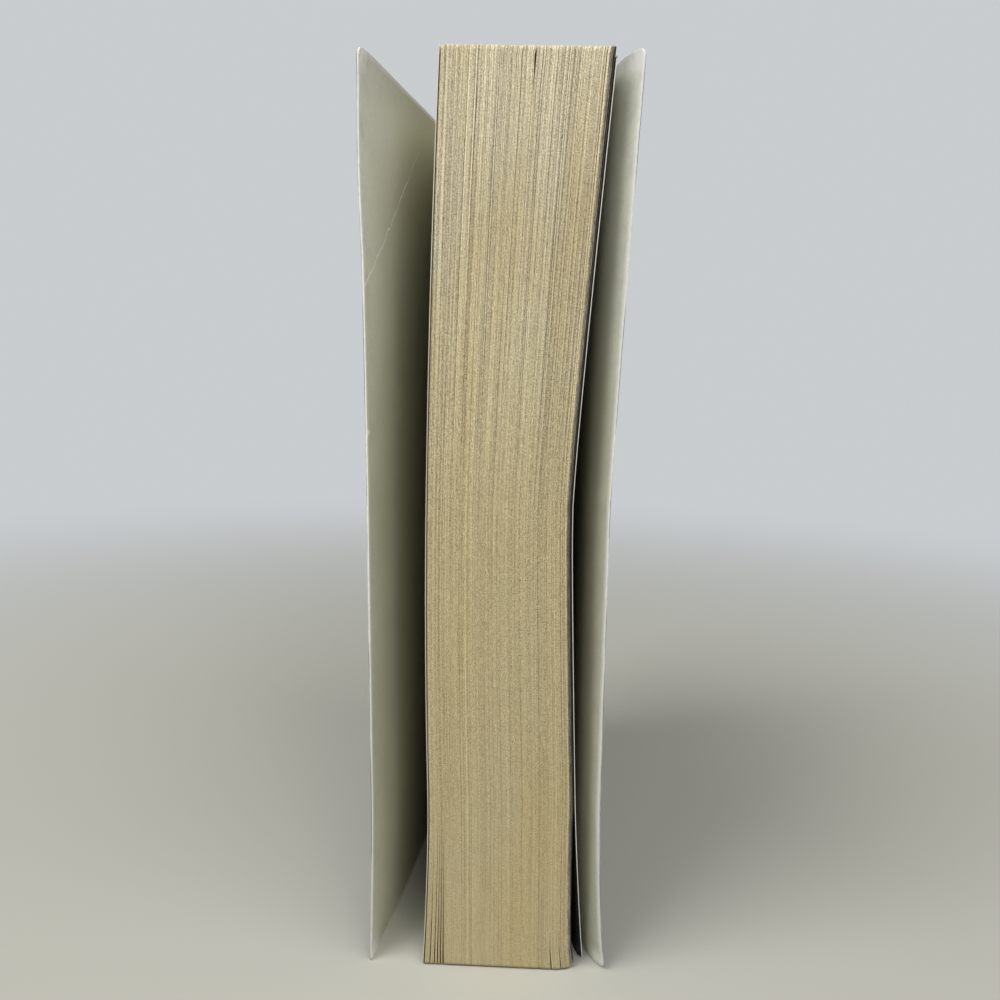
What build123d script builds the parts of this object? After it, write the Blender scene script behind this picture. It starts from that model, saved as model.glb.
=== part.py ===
from build123d import *
import os
from math import sqrt

# A worn mass-market paperback that stands on its tail edge with both covers sprung open.
# Millimetres. X runs across the thickness, with the front cover on the -X side. The fore-edge
# faces -Y and the spine +Y. Z runs from the tail edge up to the head edge.
# The origin is the middle of the page block's tail.

# Page block: the trimmed size, and the stretch beside the spine that the glue keeps flat
BOOK_HEIGHT = 178.0
PAGE_DEPTH = 109.0
BLOCK_THICKNESS = 28.0
BINDING_DEPTH = 6.0

# Fan of the leaves at the fore-edge: they are squeezed together at the waist and spread towards
# the head and the tail on the back cover's side, and tuck in a little on the front cover's side
WAIST_HEIGHT = 96.0
WAIST_TUCK = 0.85
HEAD_FAN = 5.2
TAIL_FAN = 4.7
HEAD_TUCK = 1.3
TAIL_TUCK = 0.8
FAN_CURVE = 1.1
TUCK_CURVE = 2.0
LEAF_BEND = 2.0
BLOCK_STEPS = 10

# Leaf lines: bundles of leaves that stand apart at the fore-edge, unevenly spaced and trimmed
LEAF_BUNDLES = 44
BUNDLE_SWAY = 0.3
BUNDLE_RHYTHM = 0.618
TRIM_SWAY = 0.09
TRIM_RHYTHM = 0.414
LINE_WIDTH = 0.14
LINE_DEPTH = 0.4

# Slits that open along some of the lines at the tail, up to the tail fan's height
TAIL_FAN_HEIGHT = 36.0
TAIL_FAN_CURVE = 1.5
SLIT_DEPTH = 3.0
SLIT_WIDTH = 0.28
WIDE_SLIT_WIDTH = 0.46
SLIT_LINES = (2, 3, 4, 5)
WIDE_SLIT_LINES = (6, 37, 40)

# Crack in one bundle at the head
CRACK_BUNDLE = 24
CRACK_WIDTH = 0.34
CRACK_HEIGHT = 6.0
CRACK_DEPTH = 4.0

# Loose outer leaves: the first, and the last, which flares away from the block at the tail
LEAF_THICKNESS = 0.26
FIRST_LEAF_GAP = 0.2
FIRST_LEAF_FREE = 26.0
LAST_LEAF_GAP = 0.3
LAST_LEAF_FLARE = 1.0
LAST_LEAF_FREE = 46.0
LAST_LEAF_RECESS = 2.0
TAIL_CORNER_RECESS = 2.4
TAIL_CORNER_WIDTH = 4.4

# Card cover: one sheet round the spine, scored at a hinge beside it on each side
CARD = 0.35
GLUE_SIDE = 0.15
GLUE_SPINE = 0.6
GLUE_SETBACK = 0.6
FOLD_RADIUS = 0.5
HINGE_GAP = 0.1
CORNER_RADIUS = 2.2
COVER_STEPS = 8

# Splay of the covers: how far each fore-edge stands out from the plane of its hinge, how much
# further its corner is flicked out at the tail, and the share of the splay that is a curled edge
FRONT_SPLAY_HEAD = 13.1
FRONT_SPLAY_WAIST = 10.9
FRONT_SPLAY_TAIL = 9.0
FRONT_FLICK = 0.9
FRONT_CURL = 0.1
FRONT_CURL_POWER = 8
BACK_SPLAY_HEAD = 9.5
BACK_SPLAY_WAIST = 6.5
BACK_SPLAY_TAIL = 7.3
BACK_FLICK = 1.6
BACK_CURL = 0.28
BACK_CURL_POWER = 16

# Planes that the pieces share
SIDE_X = BLOCK_THICKNESS / 2
COVER_X = SIDE_X + GLUE_SIDE + CARD
SPINE_Y = PAGE_DEPTH / 2
FORE_Y = -PAGE_DEPTH / 2
HINGE_Y = SPINE_Y - BINDING_DEPTH
LEAF_REACH = HINGE_Y - FORE_Y

# Spans of a bent leaf's line, and places along a cover, from the binding to the fore-edge
LEAF_SPANS = 3
COVER_SHARES = (0, 0.25, 0.5, 0.7, 0.85, 0.95, 1)


def levels(steps):
    """Evenly spaced heights from the tail to the head."""
    return [BOOK_HEIGHT * step / steps for step in range(steps + 1)]


def tail_share(z):
    """1 at the tail, falling to 0 where the tail's fan of slits closes."""
    return max(0.0, 1 - z / TAIL_FAN_HEIGHT) ** TAIL_FAN_CURVE


def end_share(z, power):
    """0 at the waist, rising to 1 at the head and at the tail."""
    reach = BOOK_HEIGHT - WAIST_HEIGHT if z > WAIST_HEIGHT else WAIST_HEIGHT
    return (abs(z - WAIST_HEIGHT) / reach) ** power


def first_x(z):
    """Where the first leaf meets the fore-edge."""
    tuck = HEAD_TUCK if z > WAIST_HEIGHT else TAIL_TUCK
    return -SIDE_X + tuck * end_share(z, TUCK_CURVE)


def last_x(z):
    """Where the last bundle meets the fore-edge."""
    fan = HEAD_FAN if z > WAIST_HEIGHT else TAIL_FAN
    return SIDE_X - WAIST_TUCK + fan * end_share(z, FAN_CURVE)


def fore_y(x, z):
    """The trimmed fore-edge, worn back at the tail's corner on the back cover's side."""
    worn = max(0.0, 1 - (last_x(z) - x) / TAIL_CORNER_WIDTH)
    return FORE_Y + TAIL_CORNER_RECESS * tail_share(z) * worn**2


def bent_leaf(x_bound, x_fore, y_fore, start=0.0):
    """Points of a leaf's line in plan, flat at the binding and bent towards the fore-edge."""
    points = []
    for step in range(LEAF_SPANS + 1):
        share = start + (1 - start) * step / LEAF_SPANS
        x = x_bound + (x_fore - x_bound) * share**LEAF_BEND
        points.append((x, HINGE_Y + (y_fore - HINGE_Y) * share))
    return points


def leaf_lines(z):
    """The fore-edge from the first bundle to the last, with a V between each two bundles."""
    start_x = first_x(z) + LEAF_THICKNESS + FIRST_LEAF_GAP
    pitch = (last_x(z) - start_x) / LEAF_BUNDLES
    points = [(start_x, fore_y(start_x, z))]
    for line in range(LEAF_BUNDLES - 1):
        sway = BUNDLE_SWAY * (line * BUNDLE_RHYTHM % 1 - 1 / 2)
        x = start_x + pitch * (line + 1 + sway)
        y = fore_y(x, z) + TRIM_SWAY * (line * TRIM_RHYTHM % 1)
        width = LINE_WIDTH
        depth = LINE_DEPTH
        if line in SLIT_LINES + WIDE_SLIT_LINES:
            tail_width = WIDE_SLIT_WIDTH if line in WIDE_SLIT_LINES else SLIT_WIDTH
            width += (tail_width - LINE_WIDTH) * tail_share(z)
            depth += (SLIT_DEPTH - LINE_DEPTH) * tail_share(z)
        points += [(x - width / 2, y), (x, y + depth), (x + width / 2, y)]
    points.append((last_x(z), fore_y(last_x(z), z)))
    return points


def block_plan(z):
    """Draws the page block's plan at one height, with its two loose outer leaves."""
    first_in = first_x(z) + LEAF_THICKNESS
    first_y = fore_y(first_x(z), z)
    last_in = last_x(z) + LAST_LEAF_GAP + LAST_LEAF_FLARE * tail_share(z)
    last_y = FORE_Y + (TAIL_CORNER_RECESS + LAST_LEAF_RECESS) * tail_share(z)
    last_out = last_in + LEAF_THICKNESS
    inner_x = SIDE_X - LEAF_THICKNESS
    root = 1 - LAST_LEAF_FREE / LEAF_REACH
    lines = leaf_lines(z)
    front_side = Spline(*bent_leaf(-SIDE_X, first_x(z), first_y))
    back_side = Spline(*bent_leaf(SIDE_X, last_out, last_y))
    leaf_side = Spline(*bent_leaf(inner_x, last_in, last_y, root))
    bundle_side = Spline(leaf_side @ 0, *bent_leaf(inner_x, *lines[-1], root)[1:])
    Polyline(
        front_side @ 1,
        (first_in, first_y),
        (first_in, first_y + FIRST_LEAF_FREE),
        *lines[:-1],
        bundle_side @ 1,
    )
    Line(leaf_side @ 1, back_side @ 1)
    Polyline(back_side @ 0, (SIDE_X, SPINE_Y), (-SIDE_X, SPINE_Y), front_side @ 0)


def cover_reach(splay):
    """How far a splayed cover still comes forward from its hinge."""
    return sqrt(LEAF_REACH**2 - splay**2)


def cover_band(side, splay, curl, curl_power):
    """Draws a cover's plan at one height: a band of card from the hinge to the fore-edge."""
    reach = cover_reach(splay)
    outer = []
    inner = []
    for share in COVER_SHARES:
        x = COVER_X + splay * ((1 - curl) * share + curl * share**curl_power)
        y = HINGE_Y - reach * share
        slope = splay * (1 - curl + curl * curl_power * share ** (curl_power - 1)) / reach
        across = CARD / sqrt(1 + slope**2)
        outer.append((side * x, y))
        inner.append((side * (x - across), y - across * slope))
    outside = Spline(*outer)
    inside = Spline(*inner)
    Line(outside @ 0, inside @ 0)
    Line(outside @ 1, inside @ 1)


def cover_splay(z, head, waist, tail, flick):
    """A cover's splay at one height."""
    if z > WAIST_HEIGHT:
        return waist + (head - waist) * end_share(z, FAN_CURVE)
    return waist + (tail - waist) * end_share(z, FAN_CURVE) + flick * tail_share(z)


def corner_waste(z, inward, splay):
    """Draws, seen from the side, what is worn off a cover's corner at the fore-edge."""
    y = HINGE_Y - cover_reach(splay)
    centre = Vector(y + CORNER_RADIUS, z + inward * CORNER_RADIUS)
    wear = CenterArc(centre, CORNER_RADIUS, 180, inward * 90)
    Polyline(
        wear @ 0,
        (y - CARD, centre.Y),
        (y - CARD, z - inward * CARD),
        (centre.X, z - inward * CARD),
        wear @ 1,
    )


# The leaves, glued into one block
with BuildPart() as page_block:
    for level in levels(BLOCK_STEPS):
        with BuildSketch(Plane.XY.offset(level)):
            with BuildLine():
                block_plan(level)
            make_face()
    loft(ruled=True)
    head_width = last_x(BOOK_HEIGHT) - first_x(BOOK_HEIGHT)
    crack_left = first_x(BOOK_HEIGHT) + head_width * CRACK_BUNDLE / LEAF_BUNDLES
    with BuildSketch(Plane.XZ.offset(-FORE_Y)):
        with BuildLine():
            Polyline(
                (crack_left, BOOK_HEIGHT),
                (crack_left + CRACK_WIDTH, BOOK_HEIGHT),
                (crack_left, BOOK_HEIGHT - CRACK_HEIGHT),
                close=True,
            )
        make_face()
    extrude(amount=-CRACK_DEPTH, mode=Mode.SUBTRACT)

# Film of glue over the spine and the pages' outer sides beside it
with BuildPart() as spine_glue:
    glue_end = HINGE_Y + GLUE_SETBACK
    with BuildSketch():
        with BuildLine():
            Polyline(
                (SIDE_X, SPINE_Y),
                (SIDE_X, glue_end),
                (SIDE_X + GLUE_SIDE, glue_end),
                (SIDE_X + GLUE_SIDE, SPINE_Y + GLUE_SPINE),
                (-SIDE_X - GLUE_SIDE, SPINE_Y + GLUE_SPINE),
                (-SIDE_X - GLUE_SIDE, glue_end),
                (-SIDE_X, glue_end),
                (-SIDE_X, SPINE_Y),
                close=True,
            )
        glue_face = make_face()
        fillet(glue_face.vertices().group_by(Axis.Y)[-1], FOLD_RADIUS)
    extrude(amount=BOOK_HEIGHT)

# Card over the spine, folded round it and glued to the sides as far as the hinge scores
with BuildPart() as cover_spine:
    with BuildSketch():
        with BuildLine():
            wrap = Polyline(
                (SIDE_X + GLUE_SIDE, HINGE_Y + HINGE_GAP),
                (SIDE_X + GLUE_SIDE, SPINE_Y + GLUE_SPINE),
                (-SIDE_X - GLUE_SIDE, SPINE_Y + GLUE_SPINE),
                (-SIDE_X - GLUE_SIDE, HINGE_Y + HINGE_GAP),
            )
            fillet(wrap.vertices().group_by(Axis.Y)[-1], FOLD_RADIUS)
            offset(amount=CARD, side=Side.RIGHT)
        make_face()
    extrude(amount=BOOK_HEIGHT)

# Front cover: nearly flat, and splayed wider at the head
with BuildPart() as front_cover:
    for level in levels(COVER_STEPS):
        splay = cover_splay(level, FRONT_SPLAY_HEAD, FRONT_SPLAY_WAIST, FRONT_SPLAY_TAIL, FRONT_FLICK)
        with BuildSketch(Plane.XY.offset(level)):
            with BuildLine():
                cover_band(-1, splay, FRONT_CURL, FRONT_CURL_POWER)
            make_face()
    loft()
    for level, inward in ((0.0, 1), (BOOK_HEIGHT, -1)):
        splay = cover_splay(level, FRONT_SPLAY_HEAD, FRONT_SPLAY_WAIST, FRONT_SPLAY_TAIL, FRONT_FLICK)
        with BuildSketch(Plane.YZ):
            with BuildLine():
                corner_waste(level, inward, splay)
            make_face()
        extrude(amount=COVER_X + 2 * splay, both=True, mode=Mode.SUBTRACT)

# Back cover: follows the pages, then curls outward along its fore-edge
with BuildPart() as back_cover:
    for level in levels(COVER_STEPS):
        splay = cover_splay(level, BACK_SPLAY_HEAD, BACK_SPLAY_WAIST, BACK_SPLAY_TAIL, BACK_FLICK)
        with BuildSketch(Plane.XY.offset(level)):
            with BuildLine():
                cover_band(1, splay, BACK_CURL, BACK_CURL_POWER)
            make_face()
    loft()
    for level, inward in ((0.0, 1), (BOOK_HEIGHT, -1)):
        splay = cover_splay(level, BACK_SPLAY_HEAD, BACK_SPLAY_WAIST, BACK_SPLAY_TAIL, BACK_FLICK)
        with BuildSketch(Plane.YZ):
            with BuildLine():
                corner_waste(level, inward, splay)
            make_face()
        extrude(amount=COVER_X + 2 * splay, both=True, mode=Mode.SUBTRACT)

page_block.part.label = "page_block"
spine_glue.part.label = "spine_glue"
cover_spine.part.label = "cover_spine"
front_cover.part.label = "front_cover"
back_cover.part.label = "back_cover"

os.makedirs("parts", exist_ok=True)
export_step(page_block.part, "parts/page_block.step")
export_step(spine_glue.part, "parts/spine_glue.step")
export_step(cover_spine.part, "parts/cover_spine.step")
export_step(front_cover.part, "parts/front_cover.step")
export_step(back_cover.part, "parts/back_cover.step")
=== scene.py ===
import math

import bpy
import numpy as np
from mathutils import Matrix, Vector


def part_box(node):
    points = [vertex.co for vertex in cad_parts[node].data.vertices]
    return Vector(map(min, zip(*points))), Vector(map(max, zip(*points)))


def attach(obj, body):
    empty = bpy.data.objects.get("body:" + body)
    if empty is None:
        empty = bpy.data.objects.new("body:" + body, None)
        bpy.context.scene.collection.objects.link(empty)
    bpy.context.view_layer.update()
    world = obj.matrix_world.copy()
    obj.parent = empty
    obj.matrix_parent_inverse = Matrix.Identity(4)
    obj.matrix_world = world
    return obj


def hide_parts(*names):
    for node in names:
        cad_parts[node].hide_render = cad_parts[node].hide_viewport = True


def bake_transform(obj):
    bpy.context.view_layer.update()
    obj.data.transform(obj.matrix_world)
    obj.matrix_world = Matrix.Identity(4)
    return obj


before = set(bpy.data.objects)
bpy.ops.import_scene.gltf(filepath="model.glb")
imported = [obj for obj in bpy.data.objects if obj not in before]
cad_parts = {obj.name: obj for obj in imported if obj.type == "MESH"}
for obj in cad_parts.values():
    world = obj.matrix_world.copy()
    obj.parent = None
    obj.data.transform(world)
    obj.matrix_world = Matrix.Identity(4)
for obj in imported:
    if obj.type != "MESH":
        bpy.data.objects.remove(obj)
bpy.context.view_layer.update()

# A worn paperback on its tail edge, seen from its fore-edge. Sizes are in millimetres in the CAD's
# frame: X across the thickness, -Y the fore-edge, Z up. Meshes are made in metres.
MM = 0.001
SEED = 20

# Sizes read from the frame, with the depth of the strips that are glued beside the spine
block_low, block_high = (Vector(corner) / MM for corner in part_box("page_block"))
_, spine_high = (Vector(corner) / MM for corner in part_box("cover_spine"))
BOOK_HEIGHT = block_high.z
FORE_Y = block_low.y
SPINE_Y = block_high.y
SIDE_X = -block_low.x
COVER_X = spine_high.x
COVER_BACK_Y = spine_high.y
BINDING_DEPTH = 6.0
HINGE_Y = SPINE_Y - BINDING_DEPTH
LEAF_REACH = HINGE_Y - FORE_Y

# Fan of the leaves, as in the page block
WAIST_HEIGHT = 96.0
WAIST_TUCK = 0.85
WAIST_ROUND = 6.0
HEAD_FAN = 5.2
TAIL_FAN = 4.7
HEAD_TUCK = 1.3
TAIL_TUCK = 2.9
TAIL_FLARE = 2.3
FAN_CURVE = 1.1
TUCK_CURVE = 2.0
LEAF_BEND = 2.0
TAIL_FAN_HEIGHT = 36.0
TAIL_FAN_CURVE = 1.5
TAIL_CORNER_RECESS = 1.5
TAIL_CORNER_WIDTH = 4.4

# Leaves: how many, how thick, and how unevenly they lie. The last ones are printed dark.
LEAVES = 210
LEAF_THICKNESS = 0.126
GAP_UNEVENNESS = 0.35
GAP_RUN = 45.0
DARK_TONES = (1.0, 0.75, 0.4, 0.75, 0.2, 0.0)
DARK_LEAVES = len(DARK_TONES)
DARK_PAIR = 2

# Tones of the pale leaves: each leaf's own share, and the share of a run of neighbours
OWN_TONE = 0.95
SHARED_TONE = 0.15
SHARED_LEAVES = 7

# Leaves cling together in bundles of a few, with wider gaps between the bundles
BUNDLE_LEAVES = (3, 6)
BUNDLE_GAP = 3.8
BUNDLE_UNEVENNESS = 0.35
BUNDLE_RUN = 40.0
BUNDLE_WAIST = 0.3
BUNDLE_OPENING_CURVE = 0.7
BUNDLE_FAN = 1.0
BUNDLE_FAN_CURVE = 4

# Trim of the leaves at the fore-edge, the head and the tail
TRIM_SWAY = 0.03
TRIM_WANDER = 0.03
TRIM_RUN = 9.0
DEEP_SHARE = 0.05
DEEP_TRIM = 0.15
HEAD_SWAY = 0.07
TAIL_SWAY = 0.04
TAIL_ROUND = 0.3
TAIL_CORNER_ROUND = 1.5

# Sides of the stack at the fore-edge: the groove beside the first leaf, and how far the end spreads,
# tucks in near the tail and flares at the foot
FIRST_LEAF_SPACE = 0.27
GROOVE_LEAVES = 1
GROOVE_DEPTH = 0.6
STACK_SPREAD = 0.28
STACK_TAIL_TUCK = 1.25
STACK_TAIL_FLARE = 0.6
STACK_FLARE_HEIGHT = 3.0

# Slits at the tail and the crack at the head: place across the stack as a share, and width. They close
# inward by a power, and the crack is narrower again at its very end.
SLIT_CLOSING = 40
TAIL_SLITS = ((0.034, 0.2), (0.06, 0.2), (0.075, 0.22), (0.086, 0.24), (0.098, 0.32))
SHORT_SLITS = ((0.85, 0.24), (0.91, 0.18))
SHORT_SLIT_HEIGHT = 9.0
DARK_SLIT = 0.07
DARK_HEAD_SLIT = 0.12
HEAD_CRACK = (0.555, 0.5)
HEAD_CRACK_HEIGHT = 7.5
HEAD_CRACK_END = 0.3

# Loose outer leaves: two shades of their paper, and how much of that colour their edge keeps at the
# tail, the middle and the head, where the rest is a darker colour
FIRST_LEAF_THICKNESS = 0.12
FIRST_LEAF_PAPER = ((0.66, 0.63, 0.52), (0.58, 0.54, 0.41))
FIRST_LEAF_EDGE_SHARE = (0.75, 0.75, 1.0)
LAST_LEAF_THICKNESS = 0.15
LAST_LEAF_PAPER = ((0.66, 0.65, 0.6), (0.6, 0.58, 0.52))
LAST_LEAF_EDGE_SHARE = (0.95, 0.8, 1.0)
LAST_LEAF_GAP = 0.45
LAST_LEAF_FLARE = 1.0
LAST_LEAF_RECESS = 4.4
LAST_LEAF_DROP = 2.4

# Card cover: how far each side stands out at its fore-edge, the share and power of its curl, and the
# radii of its worn corners with the tail corner's own curl
CARD = 0.35
FOLD_RADIUS = 0.5
FRONT_SPLAY = {"head": 13.05, "waist": 10.9, "tail": 9.0, "flick": 0.9}
FRONT_CURL = (0.1, 8)
FRONT_CORNERS = {"head": 2.0, "tail": 0.7, "curl": 0.0}
BACK_SPLAY = {"head": 9.5, "waist": 6.5, "tail": 7.3, "flick": 1.6}
BACK_CURL = (0.42, 18)
BACK_CORNERS = {"head": 1.1, "tail": 2.2, "curl": 1.1}
CORNER_CURL_SPAN = 3.0
SCORE_DEPTH = 0.05
SCORE_WIDTH = 0.45
EDGE_WANDER = 0.025
EDGE_RUN = 9.0

# Crease across the front cover's head corner: where it leaves the fore-edge, its slope, and how far
# the corner beyond it bows out
CREASE_HEIGHT = 135.4
CREASE_SLOPE = 0.8
CREASE_FADE = (26.0, 44.0)
CREASE_RIDGE = 0.025
CREASE_WIDTH = 0.8
CREASE_WAVER = 3.0
CORNER_BOW = 0.36
CORNER_SPAN = 35.0

# Nick in the front cover's fore-edge
NICK_HEIGHT = 108.7
NICK_DEPTH = 0.3
NICK_WIDTH = 0.7

# Spine: half its flat width, and its reading creases, placed across it as shares of that. To the
# materials its middle is SPINE_PLACE from the fore-edge.
SPINE_FLAT = COVER_X - FOLD_RADIUS - CARD
SPINE_CREASES = (-0.62, -0.21, 0.33, 0.7)
SPINE_CREASE_DEPTH = 0.05
SPINE_CREASE_WIDTH = 0.3
SPINE_CREASE_BEND = 0.4
SPINE_CREASE_RUN = 40.0
SPINE_PLACE = 50.0
SPINE_STEPS = 120
SPINE_LEVELS = 90
FOLD_STEPS = 9

random = np.random.default_rng(SEED)


# Shapes shared with the page block and the covers

def tail_share(z):
    """1 at the tail, falling to 0 where the tail's fan of slits closes."""
    return np.clip(1 - z / TAIL_FAN_HEIGHT, 0, None) ** TAIL_FAN_CURVE


def end_share(z, power):
    """0 at the waist, rising to 1 at the head and at the tail."""
    reach = np.where(z > WAIST_HEIGHT, BOOK_HEIGHT - WAIST_HEIGHT, WAIST_HEIGHT)
    return (np.abs(z - WAIST_HEIGHT) / reach) ** power


def fan_share(z):
    """Like end_share, for the side of the stack, which is rounded at the waist."""
    reach = np.where(z > WAIST_HEIGHT, BOOK_HEIGHT - WAIST_HEIGHT, WAIST_HEIGHT)
    away = np.hypot(z - WAIST_HEIGHT, WAIST_ROUND) / np.hypot(reach, WAIST_ROUND)
    return away**FAN_CURVE


def first_x(z):
    """Where the first leaf meets the fore-edge: tucked in below the waist, and flared at the tail."""
    tuck = np.where(z > WAIST_HEIGHT, HEAD_TUCK, TAIL_TUCK) * end_share(z, TUCK_CURVE)
    return -SIDE_X + tuck - TAIL_FLARE * tail_share(z)


def last_x(z):
    """Where the stack's last leaf meets the fore-edge."""
    return SIDE_X - WAIST_TUCK + np.where(z > WAIST_HEIGHT, HEAD_FAN, TAIL_FAN) * fan_share(z)


def corner_wear(x, z):
    """How far the fore-edge is worn back at the tail's corner on the back cover's side."""
    worn = np.clip(1 - (last_x(z) - x) / TAIL_CORNER_WIDTH, 0, None)
    return TAIL_CORNER_RECESS * tail_share(z) * worn**2


def cover_splay(z, splay):
    """How far a cover's fore-edge stands out from its hinge."""
    above = splay["waist"] + (splay["head"] - splay["waist"]) * end_share(z, FAN_CURVE)
    below = splay["waist"] + (splay["tail"] - splay["waist"]) * end_share(z, FAN_CURVE)
    return np.where(z > WAIST_HEIGHT, above, below + splay["flick"] * tail_share(z))


def wander(rows, z, run):
    """A smooth random line along z for each row, about 0, with bends about run apart."""
    knots = int(BOOK_HEIGHT / run) + 3
    values = random.normal(size=(rows, knots))
    place = np.clip(z, 0, BOOK_HEIGHT) / run
    low = place.astype(int)
    part = place - low
    part = part * part * (3 - 2 * part)
    return values[:, low] * (1 - part) + values[:, low + 1] * part


def round_off(radius, inward):
    """How far a round corner holds an edge back, at a distance inward from the corner's end."""
    short = np.clip(radius - inward, 0, None)
    return radius - np.sqrt(radius**2 - short**2)


# Meshes

# Groups of a slab's faces: its two sides and the four parts of its rim
SIDE_A, SIDE_B, RIM_SPINE, RIM_FORE, RIM_TAIL, RIM_HEAD = range(6)


def grid(*parts):
    """Points or places from three arrays, stretched to one shape."""
    return np.stack(np.broadcast_arrays(*parts), axis=-1)


def add_object(name, data):
    """A new object in the scene."""
    made = bpy.data.objects.new(name, data)
    bpy.context.collection.objects.link(made)
    return made


def slabs(name, side_a, side_b, materials, places):
    """Closed slabs as one mesh object. side_a and side_b are grids of points in millimetres, one grid
    to each slab, rows from the spine to the fore-edge and columns from the tail to the head. The
    materials are for side a, side b and the rim. places are three numbers to each point, which the
    materials read. Returns the object, its faces and the group that each face belongs to."""
    count, rows, columns, _ = side_a.shape
    points = np.concatenate([side_a.reshape(-1, 3), side_b.reshape(-1, 3)])
    a = np.arange(count * rows * columns).reshape(count, rows, columns)
    b = a + a.size
    patches = {
        SIDE_A: (a[:, :-1, :-1], a[:, 1:, :-1], a[:, 1:, 1:], a[:, :-1, 1:]),
        SIDE_B: (b[:, :-1, :-1], b[:, :-1, 1:], b[:, 1:, 1:], b[:, 1:, :-1]),
        RIM_SPINE: (a[:, 0, :-1], a[:, 0, 1:], b[:, 0, 1:], b[:, 0, :-1]),
        RIM_FORE: (a[:, -1, 1:], a[:, -1, :-1], b[:, -1, :-1], b[:, -1, 1:]),
        RIM_TAIL: (a[:, 1:, 0], a[:, :-1, 0], b[:, :-1, 0], b[:, 1:, 0]),
        RIM_HEAD: (a[:, :-1, -1], a[:, 1:, -1], b[:, 1:, -1], b[:, :-1, -1]),
    }
    quads = {group: np.stack(corners, -1).reshape(-1, 4) for group, corners in patches.items()}
    faces = np.concatenate(list(quads.values()))
    groups = np.concatenate([np.full(len(found), group) for group, found in quads.items()])
    probe = faces[len(quads[SIDE_A]) // 2]
    corner, along, _, up = points[probe]
    outward = corner - points[probe[0] + a.size]
    if np.cross(along - corner, up - corner) @ outward < 0:
        faces = faces[:, ::-1]
    mesh = bpy.data.meshes.new(name)
    mesh.from_pydata(points * MM, [], faces.tolist())
    mesh.polygons.foreach_set("material_index", np.minimum(groups, RIM_SPINE).astype(np.int32))
    mesh.polygons.foreach_set("use_smooth", groups < RIM_SPINE)
    for material in materials:
        mesh.materials.append(material)
    stored = mesh.attributes.new("place", "FLOAT_VECTOR", "POINT")
    both_sides = np.concatenate([places.reshape(-1, 3)] * 2)
    stored.data.foreach_set("vector", both_sides.astype(np.float32).ravel())
    across = mesh.attributes.new("across", "FLOAT", "POINT")
    across.data.foreach_set("value", np.repeat([0.0, 1.0], a.size).astype(np.float32))
    mesh.validate()
    return add_object(name, mesh), faces, groups


# Bands of the bake map, from low to high, in the order of the face groups above, and shares of a leaf's
# column in it
MAP_BANDS = np.array([(0, 0.08), (0, 0.08), (0.085, 0.095), (0.3, 0.995), (0.1, 0.195), (0.2, 0.295)])
MAP_MARGIN = 0.08
MAP_SIDE_SPAN = 0.4
MAP_RIM_SPAN = 0.84


def edge_map(piece, count, rows, heights, faces, groups):
    """A bake map with one column to each leaf, which gives the trimmed edges most of the room."""
    columns = len(heights)
    group = np.repeat(groups, 4)
    side, point = np.divmod(faces.ravel(), count * rows * columns)
    leaf, point = np.divmod(point, rows * columns)
    row, column = np.divmod(point, columns)
    depth = row / (rows - 1)
    height = heights[column] / BOOK_HEIGHT
    across = np.where(group < RIM_SPINE, group / 2 + MAP_SIDE_SPAN * depth, MAP_RIM_SPAN * side)
    along = np.where(group >= RIM_TAIL, depth, height)
    low, high = MAP_BANDS[group].T
    u = (leaf + MAP_MARGIN + across) / count
    v = low + (high - low) * along
    layer = piece.data.uv_layers.new(name="OFBake")
    layer.uv.foreach_set("vector", np.stack([u, v], axis=-1).astype(np.float32).ravel())


def add_float(piece, name, values):
    """Stores one number to each point, for both sides of each slab."""
    stored = piece.data.attributes.new(name, "FLOAT", "POINT")
    stored.data.foreach_set("value", np.concatenate([values.ravel()] * 2).astype(np.float32))


# Materials

# Sockets of the Mix node when it mixes colours
MIX_SHARE, MIX_FIRST, MIX_SECOND = 0, 6, 7
MIX_RESULT = 2


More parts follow.
